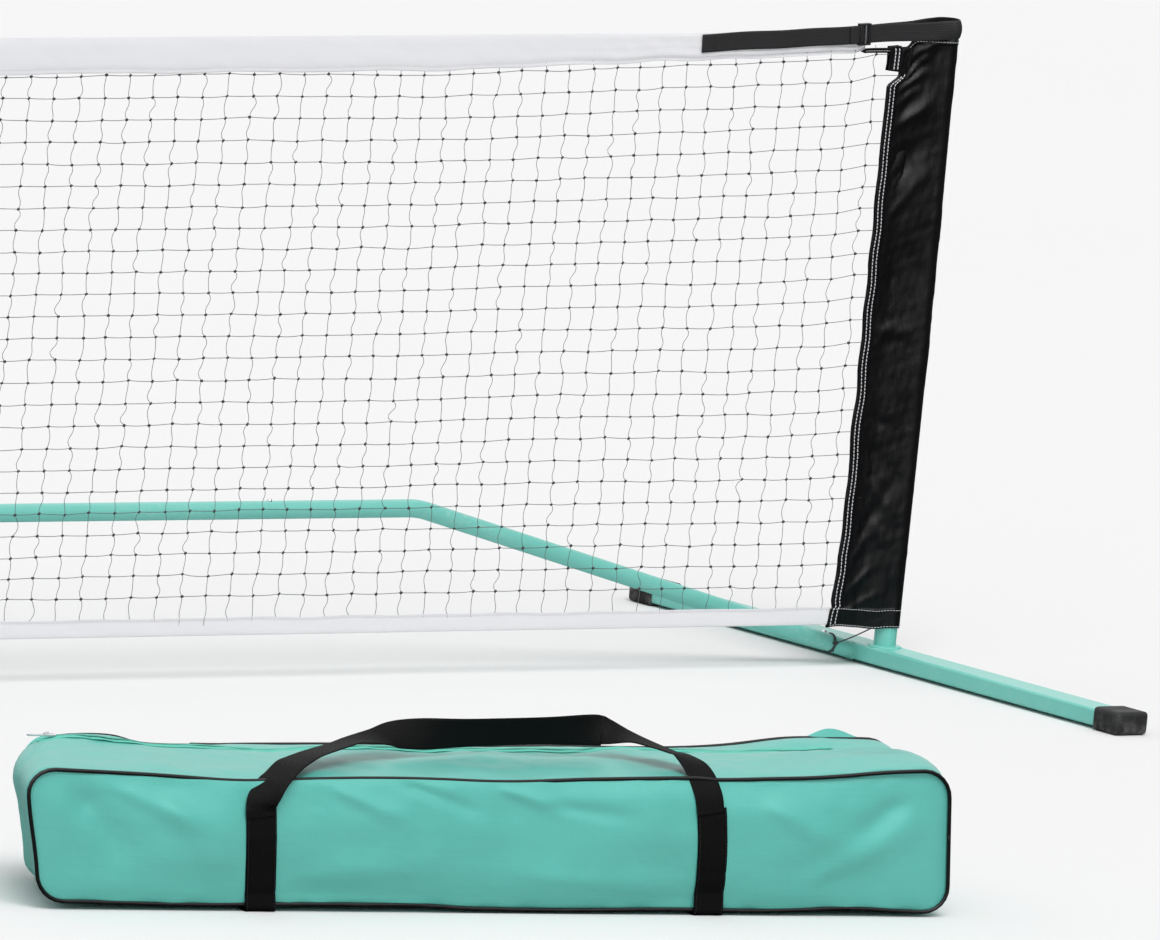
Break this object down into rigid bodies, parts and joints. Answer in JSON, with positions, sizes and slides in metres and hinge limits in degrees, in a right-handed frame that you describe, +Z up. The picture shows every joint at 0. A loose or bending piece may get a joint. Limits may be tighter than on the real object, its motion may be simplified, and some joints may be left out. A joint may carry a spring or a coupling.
{
  "type": "pickleball portable net",
  "caption": "Free-standing portable court net on a plug-together tube frame, with tensioned headband, post sleeves and a zipped carry bag.",
  "frame": {"origin": "on the ground at the middle of the net, under the pad of the centre foot", "axes": "+X along the net towards its right-hand post, +Y behind the net on the side of the bottom rails, +Z up"},
  "size_m": [6.7644, 2.2905, 0.9321],
  "materials": {
    "teal_steel": "powder coat",
    "foot_rubber": "moulded",
    "black_plastic": "moulded",
    "spring_steel": "bright",
    "net_twine": "knotted twine",
    "white_tape": "woven tape",
    "black_fabric": "coated woven",
    "black_webbing": "ribbed webbing",
    "bag_fabric": "coated woven",
    "bag_piping": "satin"
  },
  "bodies": {
    "frame": {"right_foot": "teal_steel", "left_foot": "teal_steel", "centre_foot": "teal_steel", "right_front_cap": "foot_rubber", "right_rear_cap": "foot_rubber", "left_front_cap": "foot_rubber", "left_rear_cap": "foot_rubber", "centre_front_cap": "foot_rubber", "centre_rear_cap": "foot_rubber", "centre_pad": "foot_rubber", "right_post": "teal_steel", "left_post": "teal_steel", "centre_post": "teal_steel", "right_post_cap": "black_plastic", "left_post_cap": "black_plastic", "centre_post_cap": "black_plastic", "right_bent_rail": "teal_steel", "right_outer_rail": "teal_steel", "right_inner_rail": "teal_steel", "left_bent_rail": "teal_steel", "left_outer_rail": "teal_steel", "left_inner_rail": "teal_steel", "rail_tee": "teal_steel", "button_springs": "spring_steel", "netting": "net_twine", "headband": "white_tape", "bottom_hem": "white_tape", "right_sleeve": "black_fabric", "left_sleeve": "black_fabric", "right_corner_tab": "black_fabric", "left_corner_tab": "black_fabric", "right_strap": "black_webbing", "left_strap": "black_webbing", "right_tie_cord": "net_twine", "left_tie_cord": "net_twine", "centre_strap": "white_tape"},
    "right_socket_button_body": {"right_socket_button": "spring_steel"},
    "right_bend_button_body": {"right_bend_button": "spring_steel"},
    "right_rail_button_body": {"right_rail_button": "spring_steel"},
    "right_tee_button_body": {"right_tee_button": "spring_steel"},
    "left_socket_button_body": {"left_socket_button": "spring_steel"},
    "left_bend_button_body": {"left_bend_button": "spring_steel"},
    "left_rail_button_body": {"left_rail_button": "spring_steel"},
    "left_tee_button_body": {"left_tee_button": "spring_steel"},
    "centre_post_button_body": {"centre_post_button": "spring_steel"},
    "right_buckle_body": {"right_buckle": "black_plastic", "right_buckle_bar": "spring_steel"},
    "left_buckle_body": {"left_buckle": "black_plastic", "left_buckle_bar": "spring_steel"},
    "bag": {"bag_shell": "bag_fabric", "bag_piping": "bag_piping", "bag_bands": "black_webbing", "bag_front_handle": "black_webbing", "bag_rear_handle": "black_webbing", "bag_zip": "black_webbing"},
    "zip_slider_body": {"zip_slider": "spring_steel"}
  },
  "joints": [
    {"name": "right_socket_button_press", "type": "slide", "parent": "frame", "child": "right_socket_button_body", "axis": [-0.2547, 0, -0.967], "range_m": [0, 0.004], "stiffness_N_per_m": 500, "springref_m": -0.002},
    {"name": "right_bend_button_press", "type": "slide", "parent": "frame", "child": "right_bend_button_body", "axis": [0, 0, -1], "range_m": [0, 0.004], "stiffness_N_per_m": 500, "springref_m": -0.002},
    {"name": "right_rail_button_press", "type": "slide", "parent": "frame", "child": "right_rail_button_body", "axis": [0, 0, -1], "range_m": [0, 0.004], "stiffness_N_per_m": 500, "springref_m": -0.002},
    {"name": "right_tee_button_press", "type": "slide", "parent": "frame", "child": "right_tee_button_body", "axis": [0, 0, -1], "range_m": [0, 0.004], "stiffness_N_per_m": 500, "springref_m": -0.002},
    {"name": "left_socket_button_press", "type": "slide", "parent": "frame", "child": "left_socket_button_body", "axis": [0.2547, 0, -0.967], "range_m": [0, 0.004], "stiffness_N_per_m": 500, "springref_m": -0.002},
    {"name": "left_bend_button_press", "type": "slide", "parent": "frame", "child": "left_bend_button_body", "axis": [0, 0, -1], "range_m": [0, 0.004], "stiffness_N_per_m": 500, "springref_m": -0.002},
    {"name": "left_rail_button_press", "type": "slide", "parent": "frame", "child": "left_rail_button_body", "axis": [0, 0, -1], "range_m": [0, 0.004], "stiffness_N_per_m": 500, "springref_m": -0.002},
    {"name": "left_tee_button_press", "type": "slide", "parent": "frame", "child": "left_tee_button_body", "axis": [0, 0, -1], "range_m": [0, 0.004], "stiffness_N_per_m": 500, "springref_m": -0.002},
    {"name": "centre_post_button_press", "type": "slide", "parent": "frame", "child": "centre_post_button_body", "axis": [0, -1, 0], "range_m": [0, 0.004], "stiffness_N_per_m": 500, "springref_m": -0.002},
    {"name": "right_buckle_slide", "type": "slide", "parent": "frame", "child": "right_buckle_body", "axis": [0.9984, 0, 0.0558], "range_m": [-0.012, 0.012]},
    {"name": "left_buckle_slide", "type": "slide", "parent": "frame", "child": "left_buckle_body", "axis": [-0.9984, 0, 0.0558], "range_m": [-0.012, 0.012]},
    {"name": "bag_lift", "type": "slide", "parent": "frame", "child": "bag", "axis": [0, 0, 1], "range_m": [0, 0.4]},
    {"name": "zip_slide", "type": "slide", "parent": "bag", "child": "zip_slider_body", "axis": [0.9848, -0.1736, 0], "range_m": [0, 1.12]}
  ]
}
